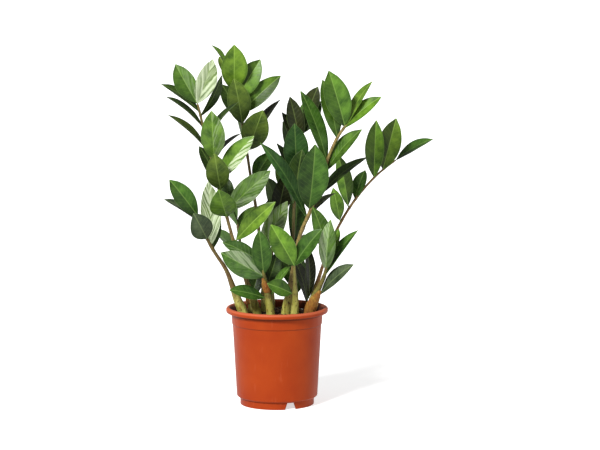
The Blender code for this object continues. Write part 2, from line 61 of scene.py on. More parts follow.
# ---- how the frame's leaves are built
RING_SHARES = (0.95, 0.87, 0.75, 0.6, 0.44)  # rings along a leaf, from its tip down
RINGS_NEEDED = 3  # whole rings that make a leaf: its stem may cover the others
FRAME_BOW = 0.06  # arch of its midrib, as a share of its length

# ---- fine leaves
LEAF_ROWS = 30
LEAF_COLUMNS = (0, 0.04, 0.12, 0.27, 0.45, 0.64, 0.82, 0.94, 1)  # from the midrib to the margin
LEAF_HALF_THICKNESS = 0.32 * MM
STALK_RADIUS = 0.95 * MM
STALK_SHARE = 0.1  # of the leaf's length, over which the stalk opens into the blade
LEAF_FOLD = 0.25  # rise of the margin per unit of half width
WAVE_HEIGHT = 0.55 * MM  # of the margin
MIDRIB_KEEL = 0.3 * MM  # how far the midrib stands out underneath, near the stalk
MIDRIB_KEEL_WIDTH = 0.7 * MM
MIDRIB_GROOVE = 0.14 * MM  # how deep it lies on top
MIDRIB_GROOVE_WIDTH = 0.6 * MM
VEIN_SPACING = 5.2 * MM
VEIN_SLANT = 0.85  # how far a side vein runs on towards the tip, per unit across

# ---- fine stems
STEM_STEP = 2.5 * MM
STEM_STEPS_MOST = 400
STEM_SIDES = 24
JOINT_SWELLING = 0.16  # how much thicker a stem is where a leaf leaves it
JOINT_LENGTH = 3.2 * MM
FOOT_SWELLING = 30 * MM  # height over which a stem's swollen foot fades
FOOT_RIDGES = 0.06  # of the radius
FOOT_RIDGE_LENGTH = 60 * MM
STEM_LUMPS = 0.035  # of the radius
STEM_LUMP_SIZE = 7 * MM
FEELERS = 24  # rays that feel out a stem's skin
FEEL_REACH = 12 * MM
FEEL_SPREAD = 1.25  # a ray longer than this times the median has met a leaf's stalk

# ---- pot and soil
FRAME_POT_STEPS = 64  # flat sides of the frame's turned pot
FRAME_POT_LEDGE = 8  # the outline's point at the nesting ledge, from the axis underneath
LIP_SHARE = 0.92  # of the pot's height, above which its outline is the lip
POT_SEGMENTS = 144
LIP_ROUNDING = 1.6 * MM
CORNER_ROUNDING = 0.45 * MM
MARK_GAP = 9 * MM  # points closer than this belong to the same notch or hole
NOTCH_MARGIN = 4 * MM
SOIL_STEPS = 110
SOIL_RINGS = 34
SOIL_LUMPS = (1.6 * MM, 11 * MM)  # height and width
SOIL_GRAINS = (0.7 * MM, 2.6 * MM)
CRUMBS = 420
CRUMB_SIZES = (0.5 * MM, 0.7 * MM, 0.9 * MM, 1.2 * MM, 1.7 * MM)
CRUMB_TONES = ((0.05, 0.028, 0.016), (0.03, 0.018, 0.012), (0.09, 0.05, 0.028), (0.13, 0.07, 0.035))
PERLITE_TONE = (0.62, 0.6, 0.55)
PERLITE_SHARE = 0.035


def box_centre(node):
    low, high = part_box(node)
    return (low + high) / 2


POT_AXIS = box_centre("pot")
POT_FOOT = Vector((POT_AXIS.x, POT_AXIS.y, 0))
POT_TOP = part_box("pot")[1].z
SOIL_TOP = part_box("soil")[1].z
LEAF_NODES = sorted(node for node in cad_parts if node.startswith("leaf_"))


# ---- reading the frame


def welded(node):
    """A CAD node's mesh with its split corners joined."""
    bm = bmesh.new()
    bm.from_mesh(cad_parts[node].data)
    bmesh.ops.remove_doubles(bm, verts=bm.verts, dist=WELD)
    return bm


def next_ring(ring, seen):
    """The points one edge further on."""
    found = []
    for vert in ring:
        for edge in vert.link_edges:
            other = edge.other_vert(vert)
            if other not in seen and other not in found:
                found.append(other)
    return found


def is_loop(ring):
    """True if each of the ring's points has two neighbours in it."""
    for vert in ring:
        beside = [edge.other_vert(vert) for edge in vert.link_edges]
        if sum(other in ring for other in beside) != 2:
            return False
    return True


def rings_below(tip):
    """Loops of four points from a leaf's tip down, as far as they go."""
    rings = []
    seen = {tip}
    ring = next_ring([tip], seen)
    while len(ring) == 4 and is_loop(ring):
        rings.append([vert.co.copy() for vert in ring])
        seen.update(ring)
        ring = next_ring(ring, seen)
    return rings


def opposite_pairs(ring):
    """The ring's two widest-set points, which are the margins, and the other two, on the midrib."""
    pairs = [((0, i), tuple(j for j in (1, 2, 3) if j != i)) for i in (1, 2, 3)]
    spans = [(ring[a[0]] - ring[a[1]]).length for a, _ in pairs]
    spans += [(ring[b[0]] - ring[b[1]]).length for _, b in pairs]
    widest = spans.index(max(spans))
    margins, midrib = pairs[widest] if widest < 3 else pairs[widest - 3][::-1]
    return [ring[i] for i in margins], [ring[i] for i in midrib]


Blade = namedtuple("Blade", "base reach along across face half")


def outline(share):
    """Half width along a leaf, as a share of the widest."""
    return math.sin(math.pi * share**1.05) ** 0.72


def read_blade(tip, rings):
    """A leaf's place and shape, from its tip and one of its rings."""
    last = min(len(rings), len(RING_SHARES)) - 1
    share = RING_SHARES[last]
    margins, midrib = opposite_pairs(rings[last])
    centre = (midrib[0] + midrib[1]) / 2
    face = ((margins[0] + margins[1]) / 2 - centre).normalized()
    rest = tip - centre
    reach = (rest - face * rest.dot(face)) / (1 - share)
    along = reach.normalized()
    half = (margins[0] - margins[1]).length / 2 / outline(share)
    return Blade(tip - reach, reach, along, along.cross(face), face, half)


def blades_of(node):
    """Every leaf in a CAD node, the highest tip first."""
    bm = welded(node)
    found = []
    for vert in bm.verts:
        if len(vert.link_edges) == 4:
            rings = rings_below(vert)
            if len(rings) >= RINGS_NEEDED:
                found.append(read_blade(vert.co.copy(), rings))
    bm.free()
    return sorted(found, key=lambda blade: -(blade.base + blade.reach).z)


# ---- meshes


def turns(count):
    """The angles of a full turn in equal steps."""
    return [math.tau * step / count for step in range(count)]


def on_circle(across, deep, angle):
    return across * math.cos(angle) + deep * math.sin(angle)


def linked(name, data):
    """A new object in the scene."""
    item = bpy.data.objects.new(name, data)
    bpy.context.scene.collection.objects.link(item)
    return item


def applied(item):
    """A new mesh of an object with its modifiers applied."""
    bpy.context.view_layer.update()
    graph = bpy.context.evaluated_depsgraph_get()
    return bpy.data.meshes.new_from_object(item.evaluated_get(graph))


def mesh_of(name, bm):
    mesh = bpy.data.meshes.new(name)
    bm.to_mesh(mesh)
    bm.free()
    return mesh


def add_piece(name, bm, material, replaced, smooth_angle=60):
    """A finished piece of the plant, which rides on the one body there is."""
    mesh = mesh_of(name, bm)
    mesh.shade_smooth()
    mesh.set_sharp_from_angle(angle=math.radians(smooth_angle))
    mesh.materials.append(material)
    piece = linked(name, mesh)
    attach(piece, "root")
    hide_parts(*replaced)
    return piece


def loft(bm, rings, tip=None):
    """Faces between rings of points, closed at the first and at the last, or at a tip."""
    loops = [[bm.verts.new(point) for point in ring] for ring in rings]
    count = len(loops[0])
    for near, far in zip(loops, loops[1:]):
        for i in range(count):
            j = (i + 1) % count
            bm.faces.new((near[i], near[j], far[j], far[i]))
    bm.faces.new(loops[0][::-1])
    if tip is None:
        bm.faces.new(loops[-1])
        return loops
    end = bm.verts.new(tip)
    for i in range(count):
        bm.faces.new((loops[-1][i], loops[-1][(i + 1) % count], end))
    return loops + [[end]]


def smoothstep(low, high, value):
    share = min(max((value - low) / (high - low), 0), 1)
    return share * share * (3 - 2 * share)


def mix(a, b, share):
    return tuple(x + (y - x) * share for x, y in zip(a, b))


# ---- stems


def median(values):
    return sorted(values)[len(values) // 2]


def feel(tree, centre, along):
    """The stem's centre and radius by rays from inside it; a leaf's stalk on its side is left out."""
    across = along.orthogonal().normalized()
    deep = along.cross(across)
    rows = []
    spans = []
    for angle in turns(FEELERS):
        out = on_circle(across, deep, angle)
        place, normal, _, span = tree.ray_cast(centre, out, FEEL_REACH)
        if place is not None and normal.dot(out) > 0:
            rows.append((1, math.cos(angle), math.sin(angle)))
            spans.append(span)
    if len(spans) < FEELERS / 2:
        return centre, None
    near = [i for i, span in enumerate(spans) if span < FEEL_SPREAD * median(spans)]
    near_rows = np.array([rows[i] for i in near])
    near_spans = np.array([spans[i] for i in near])
    radius, x, y = np.linalg.lstsq(near_rows, near_spans, rcond=None)[0]
    return centre + across * float(x) + deep * float(y), float(radius)


def stem_foot(bm):
    """The centre and radius of a stem's flat lower end."""
    lowest = min(vert.co.z for vert in bm.verts)
    foot = [vert.co.copy() for vert in bm.verts if vert.co.z < lowest + 0.5 * MM]
    centre = sum(foot, Vector()) / len(foot)
    return centre, max((point - centre).length for point in foot)


def trace_stem(letter, end):
    """The stem's centres and radii from its foot to its end, a step apart."""
    bm = welded(f"stem_{letter}")
    tree = BVHTree.FromBMesh(bm)
    centre, radius = stem_foot(bm)
    bm.free()
    along = UP
    line = [(centre, radius)]
    while (end - centre).length > 0.7 * STEM_STEP and len(line) < STEM_STEPS_MOST:
        ahead = centre + along * STEM_STEP
        felt = radius
        for _ in range(2):
            ahead, found = feel(tree, ahead, along)
            felt = found or felt
        along = (along + (ahead - centre).normalized()).normalized()
        centre = ahead
        radius += (felt - radius) * 0.5
        line.append((centre, radius))
    return line + [(end, radius)]


def smoothed(line, passes=3):
    for _ in range(passes):
        threes = zip(line, line[1:], line[2:])
        middle = [tuple((x + y * 2 + z) / 4 for x, y, z in zip(*three)) for three in threes]
        line = [line[0], *middle, line[-1]]
    return line


def nearest(line, point):
    return min(range(len(line)), key=lambda i: (line[i][0] - point).length)


def stem_frames(line):
    """Directions across the stem at each step, turning no more than the stem does."""
    across = Vector((1, 0, 0))
    frames = []
    for i in range(len(line)):
        along = (line[min(i + 1, len(line) - 1)][0] - line[max(i - 1, 0)][0]).normalized()
        across = (across - along * across.dot(along)).normalized()
        frames.append((across, along.cross(across)))
    return frames


def hump(distance, width):
    """1 at no distance, falling off over a width."""
    return math.exp(-((distance / width) ** 2))


def near_joint(step, joints, length):
    """1 at a step of the stem where a leaf leaves it, falling off over a length."""
    return max(hump((step - joint) * STEM_STEP, length) for joint in joints)


def stem_ring(centre, radius, directions, seed, thicker):
    """One section of a stem, ridged at its foot and a little lumpy all over."""
    height = centre.z - SOIL_LEVEL
    swollen = hump(max(height, 0), FOOT_SWELLING)
    ring = []
    for angle in turns(STEM_SIDES):
        out = on_circle(*directions, angle)
        ridge = noise.noise(out * 2.2 + seed + UP * height / FOOT_RIDGE_LENGTH)
        lump = noise.noise((centre + out * radius) / STEM_LUMP_SIZE + seed)
        grow = 1 + thicker + FOOT_RIDGES * swollen * ridge + STEM_LUMPS * lump
        ring.append(centre + out * radius * grow)
    return ring


def make_stem(letter, line, leaf_bases, material):
    """A round fleshy stalk, thicker where a leaf leaves it, with a rounded end."""
    joints = [nearest(line, base) for base in leaf_bases]
    seed = Vector((STEM_LETTERS.index(letter) * 3.7, 0, 0))
    rings = []
    for i, ((centre, radius), directions) in enumerate(zip(line, stem_frames(line))):
        thicker = JOINT_SWELLING * near_joint(i, joints, JOINT_LENGTH)
        ring = stem_ring(centre, radius, directions, seed, thicker)
        end_round = min(1, 0.35 + 0.3 * (len(line) - 1 - i))
        rings.append([centre + (point - centre) * end_round for point in ring])
    bm = bmesh.new()
    layer = bm.verts.layers.float_vector.new("stem_place")
    paint = bm.verts.layers.float_color.new("stem_colour")
    colour = STEM_TONES.get(letter, SHADED_STEM)
    for i, loop in enumerate(loft(bm, rings)):
        height = line[i][0].z - SOIL_LEVEL
        mark = (height / MM, i / len(line), near_joint(i, joints, 0.5 * JOINT_LENGTH))
        for vert in loop:
            vert[layer] = mark
            vert[paint] = (*colour, 1)
    add_piece(f"fine_stem_{letter}", bm, material, [f"stem_{letter}"])


# ---- leaves


def leaf_shares():
    """Places along a leaf, closer together towards its stalk and its tip."""
    steps = [i / LEAF_ROWS for i in range(LEAF_ROWS)]
    return [0.45 * step + 0.55 * (0.5 - 0.5 * math.cos(math.pi * step)) for step in steps]


def fine_outline(share):
    """The frame's outline with a tip drawn out to a short point."""
    return outline(share) * (1 - 0.3 * smoothstep(0.86, 1, share))


def skin_depth(share, open_blade, offset, out, under):
    """How far a section's skin lies off its middle, with the midrib's groove on top and keel below."""
    thick = STALK_RADIUS + (LEAF_HALF_THICKNESS * (1.25 - 0.6 * share) - STALK_RADIUS) * open_blade
    depth = thick * math.sqrt(1 - out ** (2 + 4 * open_blade))
    if under:
        return -depth - MIDRIB_KEEL * (1 - share) * open_blade * hump(offset, MIDRIB_KEEL_WIDTH)
    return depth - MIDRIB_GROOVE * open_blade * hump(offset, MIDRIB_GROOVE_WIDTH)


def leaf_loop(blade, share, twist, wave):
    """One section of a leaf: margin, upper side, other margin, lower side, with each point's marks."""
    length = blade.reach.length
    arch = blade.face * length * FRAME_BOW * 4 * share * (1 - share)
    centre = blade.base + blade.reach * share + arch
    turn = Matrix.Rotation(twist * (share - 0.5), 3, blade.along)
    across = turn @ blade.across
    face = turn @ blade.face
    open_blade = smoothstep(0, STALK_SHARE, share)
    half = max(blade.half * fine_outline(share), STALK_RADIUS)
    top = [-column for column in LEAF_COLUMNS[:0:-1]] + list(LEAF_COLUMNS)
    points = []
    for under, columns in ((0, top), (1, top[-2:0:-1])):
        for column in columns:
            out = abs(column)
            offset = out * half
            rise = LEAF_FOLD * (half - STALK_RADIUS) * out**1.3
            rise += WAVE_HEIGHT * out**2 * open_blade * wave(share, column)
            rise += skin_depth(share, open_blade, offset, out, under)
            side = 0.5 if out == 1 else under
            run = (share * length - VEIN_SLANT * offset) / VEIN_SPACING
            mark = (column * half / MM, (half - offset) / MM, share)
            points.append((centre + across * column * half + face * rise, mark, (run, side)))
    return points


def leaf_colour(tone, across, share):
    """The blade's colour at a place across and along it, each half painted brighter or darker for light and
    shade, with the painted glare's strength as its alpha.
    """
    half = smoothstep(-0.6, 0.6, across)
    # painted light and shade: a factor that brightens or darkens each half of the blade
    light = tone.light[0] + (tone.light[1] - tone.light[0]) * half
    pale = tone.pale[0] + (tone.pale[1] - tone.pale[0]) * half
    return (*[part * light for part in mix(tone.foot, tone.tip, share)], pale)


def make_leaf(name, blade, root, material, node):
    """One leaf, from inside its stem to its tip."""
    rng = random.Random(name)
    twist = math.radians(rng.uniform(-9, 9))
    phase = rng.uniform(0, 10)
    drift = rng.uniform(0, 100)

    def wave(share, column):
        return noise.noise(Vector((phase + share * 3.1, 2.0 * math.copysign(1, column), drift)))

    loops = [leaf_loop(blade, share, twist, wave) for share in leaf_shares()]
    rings = [[place for place, _, _ in loop] for loop in loops]
    inside = [place + (root - blade.base) * 0.75 for place in rings[0]]
    marks = [[mark[1:] for mark in loop] for loop in [loops[0], *loops]]
    marks.append([((0, 0, 1), (blade.reach.length / VEIN_SPACING, 0.5))])
    bm = bmesh.new()
    place_layer = bm.verts.layers.float_vector.new("leaf_place")
    mark_layer = bm.verts.layers.float_vector.new("leaf_mark")
    colour_layer = bm.verts.layers.float_color.new("leaf_colour")
    made = loft(bm, [inside, *rings], tip=blade.base + blade.reach)
    for loop, loop_marks in zip(made, marks):
        for vert, (place, (run, side)) in zip(loop, loop_marks):
            vert[place_layer] = place
            vert[mark_layer] = (run, side, drift)
            vert[colour_layer] = leaf_colour(LEAF_TONES[name], place[0], place[2])
    add_piece(f"fine_{name}", bm, material, [node])


def make_fronds():
    """All stems and leaves; gives each stem's place and radius where it comes out of the soil."""
    stem_look = stem_material()
    leaf_look = leaf_material()
    roots = []
    for letter in STEM_LETTERS:
        stem = f"stem_{letter}"
        tips = blades_of(stem)
        singles = {node: blades_of(node)[0] for node in LEAF_NODES if node.startswith(f"leaf_{letter}")}
        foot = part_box(stem)[0]
        end = max((blade.base for blade in tips), key=lambda base: (base - foot).length)
        line = smoothed(trace_stem(letter, end))
        bases = [blade.base for blade in [*tips, *singles.values()]]
        make_stem(letter, line, bases, stem_look)
        roots.append(min(line, key=lambda step: abs(step[0].z - SOIL_LEVEL)))
        for number, blade in enumerate(tips, start=1):
            make_leaf(f"tip_leaf_{letter}{number}", blade, blade.base, leaf_look, stem)
        for node, blade in singles.items():
            root = line[nearest(line, blade.base)][0]
            make_leaf(node, blade, root, leaf_look, node)
    return roots


# ---- pot


def meridian(node, centre):
    """A turned solid's outline, from the axis underneath to the axis on top, read on its +X side."""
    bm = welded(node)
    near_zero = 0.01 * MM
    flat = [v for v in bm.verts if abs(v.co.y - centre.y) < near_zero and v.co.x > centre.x - near_zero]
    start = min((v for v in flat if v.co.x < centre.x + near_zero), key=lambda v: v.co.z)
    path = [start]
    while True:
        near = [edge.other_vert(path[-1]) for edge in path[-1].link_edges]
        near = [v for v in near if v in flat and v not in path]
        if not near:
            break
        path.append(min(near, key=lambda v: (v.co - path[-1].co).length))
    outline_points = [(v.co.x - centre.x, v.co.z) for v in path]
    bm.free()
    return outline_points


def rounded(points, radius, steps=4):
    """The outline with each of its corners turned into a small curve."""
    result = [points[0]]
    for before, corner, after in zip(points, points[1:], points[2:]):
        corner = Vector(corner)
        back = Vector(before) - corner
        on = Vector(after) - corner
        size = min(radius, 0.45 * back.length, 0.45 * on.length)
        near = corner + back.normalized() * size
        far = corner + on.normalized() * size
        for t in (step / steps for step in range(steps + 1)):
            result.append(tuple(near * (1 - t) ** 2 + corner * 2 * t * (1 - t) + far * t**2))
    return [*result, points[-1]]


def turned(points, centre, segments):
    """A solid of revolution from its outline, round an upright axis."""
    bm = bmesh.new()
    verts = [bm.verts.new((centre.x + radius, centre.y, height)) for radius, height in points]
    edges = [bm.edges.new(pair) for pair in zip(verts, verts[1:])]
    middle = (centre.x, centre.y, 0)
    bmesh.ops.spin(bm, geom=verts + edges, cent=middle, axis=UP, angle=math.tau, steps=segments)
    bmesh.ops.remove_doubles(bm, verts=bm.verts, dist=0.005 * MM)
    bmesh.ops.recalc_face_normals(bm, faces=bm.faces)
    return bm


def cut_marks(low, high):
    """Points of the frame's pot between two heights that its turning didn't make."""
    bm = welded("pot")
    marks = []
    for vert in bm.verts:
        out = vert.co - POT_AXIS
        bearing = math.atan2(out.y, out.x) / math.tau * FRAME_POT_STEPS
        if low < vert.co.z < high and abs(bearing - round(bearing)) > 0.02:
            marks.append(vert.co.copy())
    bm.free()
    return marks


def grouped(points, gap):
    """Points sorted into clusters that lie further apart than the gap."""
    groups = []
    for point in points:
        near = [group for group in groups if any((point - other).length < gap for other in group)]
        groups = [group for group in groups if group not in near] + [sum(near, [point])]
    return groups


def notch_cutter(group):
    """A trapezium through the foot ring, as the marks of a notch in the frame show it."""
    outward = sum((point - POT_AXIS for point in group), Vector())
    outward = Vector((outward.x, outward.y, 0)).normalized()
    across = Vector((-outward.y, outward.x, 0))
    top = max(point.z for point in group)
    low_half = max(abs((point - POT_AXIS).dot(across)) for point in group if point.z < top / 2)
    high_half = max(abs((point - POT_AXIS).dot(across)) for point in group if point.z > top / 2)
    distances = [(point - POT_AXIS).dot(outward) for point in group]
    low = across * low_half
    high = across * high_half + UP * top
    mirrored = across * -high_half + UP * top
    below = UP * -MM
    rings = []
    for distance in (min(distances) - NOTCH_MARGIN, max(distances) + NOTCH_MARGIN):
        start = POT_FOOT + outward * distance
        section = [below - low, below + low, low, high, mirrored, -low]
        rings.append([start + point for point in section])
    bm = bmesh.new()
    loft(bm, rings)
    bmesh.ops.recalc_face_normals(bm, faces=bm.faces)
    return bm


def drain_cutter(group):
    """A round hole through the floor, as wide as the frame's."""
    spots = [Vector((point.x, point.y, 0)) for point in group]
    low = Vector((min(p.x for p in spots), min(p.y for p in spots), 0))
    high = Vector((max(p.x for p in spots), max(p.y for p in spots), 0))
    middle = (low + high) / 2
    radius = max((spot - middle).length for spot in spots)
    bm = bmesh.new()
    bmesh.ops.create_cone(bm, cap_ends=True, segments=28, radius1=radius, radius2=radius, depth=20 * MM)
    bmesh.ops.translate(bm, verts=bm.verts, vec=middle + UP * group[0].z)
    return bm


def cut(piece, cutters):
    """Take the cutters out of a piece, for good."""
    for bm in cutters:
        mesh = mesh_of("cutter", bm)
        tool = linked("cutter", mesh)
        modifier = piece.modifiers.new("cut", "BOOLEAN")
        modifier.object = tool
        modifier.operation = "DIFFERENCE"
        result = applied(piece)
        piece.modifiers.remove(modifier)
        piece.data = result
        bpy.data.objects.remove(tool)
        bpy.data.meshes.remove(mesh)


POT_OUTLINE = meridian("pot", POT_AXIS)
POT_LIP = max(POT_OUTLINE, key=lambda point: point[0])[1] - 1.5 * MM  # the lip's lower edge
POT_LEDGE = POT_OUTLINE[FRAME_POT_LEDGE][1]


def pot_outline():
    """The frame's outline with a round lip and soft corners."""
    high = [i for i, point in enumerate(POT_OUTLINE) if point[1] >= LIP_SHARE * POT_TOP]
    body = POT_OUTLINE[: high[0]]
    crown = POT_OUTLINE[high[0] : high[-1] + 1]
    inside = POT_OUTLINE[high[-1] + 1 :]
    edge = rounded([body[-1], *crown, inside[0]], LIP_ROUNDING, 5)[1:-1]
    outer = rounded(body + edge[:1], CORNER_ROUNDING)[:-1]
    inner = rounded(edge[-1:] + inside, CORNER_ROUNDING)[1:]
    return outer + edge + inner


def make_pot(material):
    bm = turned(pot_outline(), POT_AXIS, POT_SEGMENTS)
    piece = add_piece("fine_pot", bm, material, ["pot"], 40)
    floor = POT_OUTLINE[0][1]
    notches = grouped(cut_marks(-1 * MM, floor - 0.5 * MM), MARK_GAP)
    drains = grouped(cut_marks(floor - 0.1 * MM, floor + 0.1 * MM), MARK_GAP)
    cut(piece, [notch_cutter(group) for group in notches] + [drain_cutter(group) for group in drains])


# ---- soil


def soil_wall():
    """The soil's outline below its surface, from underneath up to the pot's wall."""
    points = meridian("soil", POT_AXIS)
    widest = max(range(len(points)), key=lambda i: points[i][0])
    return points[widest:][::-1]


SOIL_RADIUS, SOIL_LEVEL = soil_wall()[-1]


def soil_height(x, y):
    """The surface's height at a place from the pot's axis: a low crown, lumps and grains."""
    share = min(math.hypot(x, y) / SOIL_RADIUS, 1)
    lumps = noise.noise(Vector((x, y, 0)) / SOIL_LUMPS[1]) * SOIL_LUMPS[0]
    grains = noise.noise(Vector((x, y, 5 * MM)) / SOIL_GRAINS[1]) * SOIL_GRAINS[0]
    crown = (SOIL_TOP - SOIL_LEVEL) * 0.6 * (1 - share)
    return SOIL_LEVEL + crown + (1 - share**6) * (lumps + grains)


def make_soil(material):
    circle = [Vector((math.cos(a), math.sin(a), 0)) for a in turns(SOIL_STEPS)]
    rings = []
    for radius, height in soil_wall():
        rings.append([POT_FOOT + out * radius + UP * height for out in circle])
    for i in range(1, SOIL_RINGS):
        spots = [out * SOIL_RADIUS * (1 - i / SOIL_RINGS) for out in circle]
        rings.append([POT_FOOT + spot + UP * soil_height(spot.x, spot.y) for spot in spots])
    bm = bmesh.new()
    loft(bm, rings, tip=POT_FOOT + UP * soil_height(0, 0))
    bmesh.ops.recalc_face_normals(bm, faces=bm.faces)
    add_piece("fine_soil", bm, material, ["soil"])


def crumb_spot(rng, roots):
    """A random place on the soil and a crumb's size, or None where a stem or the wall is in the way."""
    angle = rng.uniform(0, math.tau)
    distance = SOIL_RADIUS * 0.975 * math.sqrt(rng.random())
    x = distance * math.cos(angle)
    y = distance * math.sin(angle)
    size = rng.choice(CRUMB_SIZES)
    spot = POT_FOOT + Vector((x, y, soil_height(x, y) + 0.25 * size))
    if any((spot - root).xy.length < radius + size for root, radius in roots):
        return None
    if distance + 1.5 * size > SOIL_RADIUS:
        return None
    return spot, size


def add_crumb(bm, layer, rng, spot, size):
    """One lumpy, turned grain, added to a mesh."""
    verts = bmesh.ops.create_icosphere(bm, subdivisions=2, radius=1)["verts"]
    stretch = Vector((rng.uniform(0.7, 1.7), rng.uniform(0.6, 1.1), rng.uniform(0.45, 0.9)))
    spin = Matrix.Rotation(rng.uniform(0, math.tau), 3, "Z")
    tilt = Matrix.Rotation(rng.uniform(-0.7, 0.7), 3, "X")
    white = rng.random() < PERLITE_SHARE
    peat = rng.choice(CRUMB_TONES)
    colour = PERLITE_TONE if white else peat
    drift = Vector((rng.uniform(0, 90), 0, 0))
    for vert in verts:
        lump = 1 + 0.45 * noise.noise(vert.co * 1.6 + drift)
        shape = Vector([a * b for a, b in zip(vert.co, stretch)]) * size * lump
        vert.co = spot + spin @ tilt @ shape
        vert[layer] = (*colour, 1)


def make_crumbs(material, roots):
    """Peat crumbs, bark bits and a few white perlite grains, loose on the soil between the stems."""
    rng = random.Random(12)
    bm = bmesh.new()
    layer = bm.verts.layers.float_color.new("crumb_colour")
    placed = 0
    while placed < CRUMBS:
        found = crumb_spot(rng, roots)
        if found:
            add_crumb(bm, layer, rng, *found)
            placed += 1
    add_piece("soil_crumbs", bm, material, ["soil"])


# ---- sheaths and rhizomes


def refined(node, levels):
    """A CAD node's own mesh, welded and subdivided."""
    mesh = mesh_of("coarse", welded(node))
    item = linked("coarse", mesh)
    modifier = item.modifiers.new("smooth", "SUBSURF")
    modifier.levels = levels
    modifier.render_levels = levels
    fine = applied(item)
    bm = bmesh.new()
    bm.from_mesh(fine)
    bpy.data.objects.remove(item)
    for used in (mesh, fine):
        bpy.data.meshes.remove(used)
    return bm


def make_sheath(node, material):
    """A dry papery sheath, creased along its length and crumpled towards its top."""
    bm = refined(node, 2)
    low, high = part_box(node)
    middle = (low + high) / 2
    for vert in bm.verts:
        share = (vert.co.z - low.z) / (high.z - low.z)
        crease = noise.noise(Vector((vert.co.x, vert.co.y, vert.co.z * 0.15)) / (1.6 * MM))
        crumple = noise.noise(vert.co / (5 * MM))
        out = Vector((vert.co.x - middle.x, vert.co.y - middle.y, 0)).normalized()
        vert.co += out * MM * (0.3 * crease + 0.9 * share * crumple)
    add_piece(f"fine_{node}", bm, material, [node])


def make_rhizome(node, material):
    """A potato-like rhizome with faint rings and a lumpy skin."""
    bm = refined(node, 2)
    bm.normal_update()
    for vert in bm.verts:
        vert.co += vert.normal * MM * 0.5 * noise.noise(vert.co / (6 * MM))
    add_piece(f"fine_{node}", bm, material, [node])


# ---- materials


def new_look(name, fixed):
    """A Principled material; fixed gives the sockets that are the same all over."""
    material = bpy.data.materials.new(name)
    material.use_nodes = True
    shader = material.node_tree.nodes["Principled BSDF"]
    for socket, value in fixed.items():
        shader.inputs[socket].default_value = value
    return material, material.node_tree


def add(tree, kind, inputs, **settings):
    """A node with its inputs linked or set."""
    node = tree.nodes.new("ShaderNode" + kind)
    for name, value in settings.items():
        setattr(node, name, value)
    for socket, value in inputs.items():
        if isinstance(value, bpy.types.NodeSocket):
            tree.links.new(value, node.inputs[socket])
        else:
            node.inputs[socket].default_value = value
    return node


def maths(tree, operation, a, b=0.0):
    return add(tree, "Math", {0: a, 1: b}, operation=operation).outputs[0]


def fade(tree, value, start, end):
    """0 up to start and 1 from end on, in either direction, with a soft change between."""
    inputs = {"Value": value, "From Min": start, "From Max": end}
    return add(tree, "MapRange", inputs, interpolation_type="SMOOTHSTEP").outputs[0]


def spread(tree, value, low, high):
    """A pattern of 0 to 1 brought to low to high."""
    inputs = {"Value": value, "From Min": 0.3, "From Max": 0.7, "To Min": low, "To Max": high}
    return add(tree, "MapRange", inputs).outputs[0]


def band(tree, value, low, high, edge):
    """1 between two values and 0 outside them."""
    rising = fade(tree, value, low - edge, low)
    return maths(tree, "MULTIPLY", rising, fade(tree, value, high + edge, high))


def blend(tree, factor, a, b, mode="MIX"):
    node = add(tree, "Mix", {0: factor, 6: a, 7: b}, data_type="RGBA", blend_type=mode)
    return node.outputs[2]


def grain(tree, vector, scale, detail=3.0, stretch=None):
    """Noise of 0 to 1, at a scale in repeats to the metre."""
    if stretch:
        vector = add(tree, "Mapping", {"Vector": vector, "Scale": stretch}).outputs[0]
    inputs = {"Vector": vector, "Scale": scale, "Detail": detail}
    return add(tree, "TexNoise", inputs).outputs[0]


def object_place(tree):
    return add(tree, "TexCoord", {}).outputs["Object"]


def attribute(tree, name):
    return add(tree, "Attribute", {}, attribute_name=name)


def split(tree, vector):
    node = add(tree, "SeparateXYZ", {0: vector})
    return node.outputs[0], node.outputs[1], node.outputs[2]


def tint(tree, colour, other, mask, share):
    """The colour, brought a share of the way to another one where the mask is 1."""
    return blend(tree, maths(tree, "MULTIPLY", mask, share), colour, other)


def dress(material, colour, roughness, relief, depth):
    """Link a material's patterns to its shader; depth is how deep the relief seems."""
    tree = material.node_tree
    shader = tree.nodes["Principled BSDF"]
    bump = add(tree, "Bump", {"Height": relief, "Distance": depth})
    tree.links.new(colour, shader.inputs["Base Color"])
    tree.links.new(roughness, shader.inputs["Roughness"])
    tree.links.new(bump.outputs[0], shader.inputs["Normal"])


# foot and tip: the blade's colour at each end; light: painted light and shade, how much brighter or darker
# its left and its right half are painted;
# pale: how strong the painted glare streaks on each half are
Tone = namedtuple("Tone", "foot tip light pale", defaults=((1, 1), (0, 0)))

DEEP = Tone((0.018, 0.052, 0.0055), (0.024, 0.068, 0.007))
MIDDLE = Tone((0.030, 0.078, 0.007), (0.040, 0.100, 0.009))
FRESH = Tone((0.046, 0.108, 0.009), (0.060, 0.138, 0.011))
YOUNG = Tone((0.060, 0.128, 0.010), (0.080, 0.162, 0.013))
OLIVE = Tone((0.020, 0.038, 0.006), (0.055, 0.100, 0.010))
# the next two tones are painted shade: leaves darkened for the shade they sit in deep in the plant
PAINTED_SHADE = Tone((0.009, 0.021, 0.0025), (0.013, 0.032, 0.0035))
PAINTED_DEEP_SHADE = Tone((0.006, 0.008, 0.002), (0.009, 0.014, 0.0025))
BLUE = Tone((0.012, 0.042, 0.007), (0.017, 0.058, 0.009))
DULL = Tone((0.026, 0.042, 0.020), (0.034, 0.056, 0.025))
# painted glare: a leaf painted pale all over, with strong pale streaks standing in for light reflected off
# it
PAINTED_GLARE = Tone((0.060, 0.110, 0.025), (0.085, 0.140, 0.040), (1, 1), (0.95, 0.95))
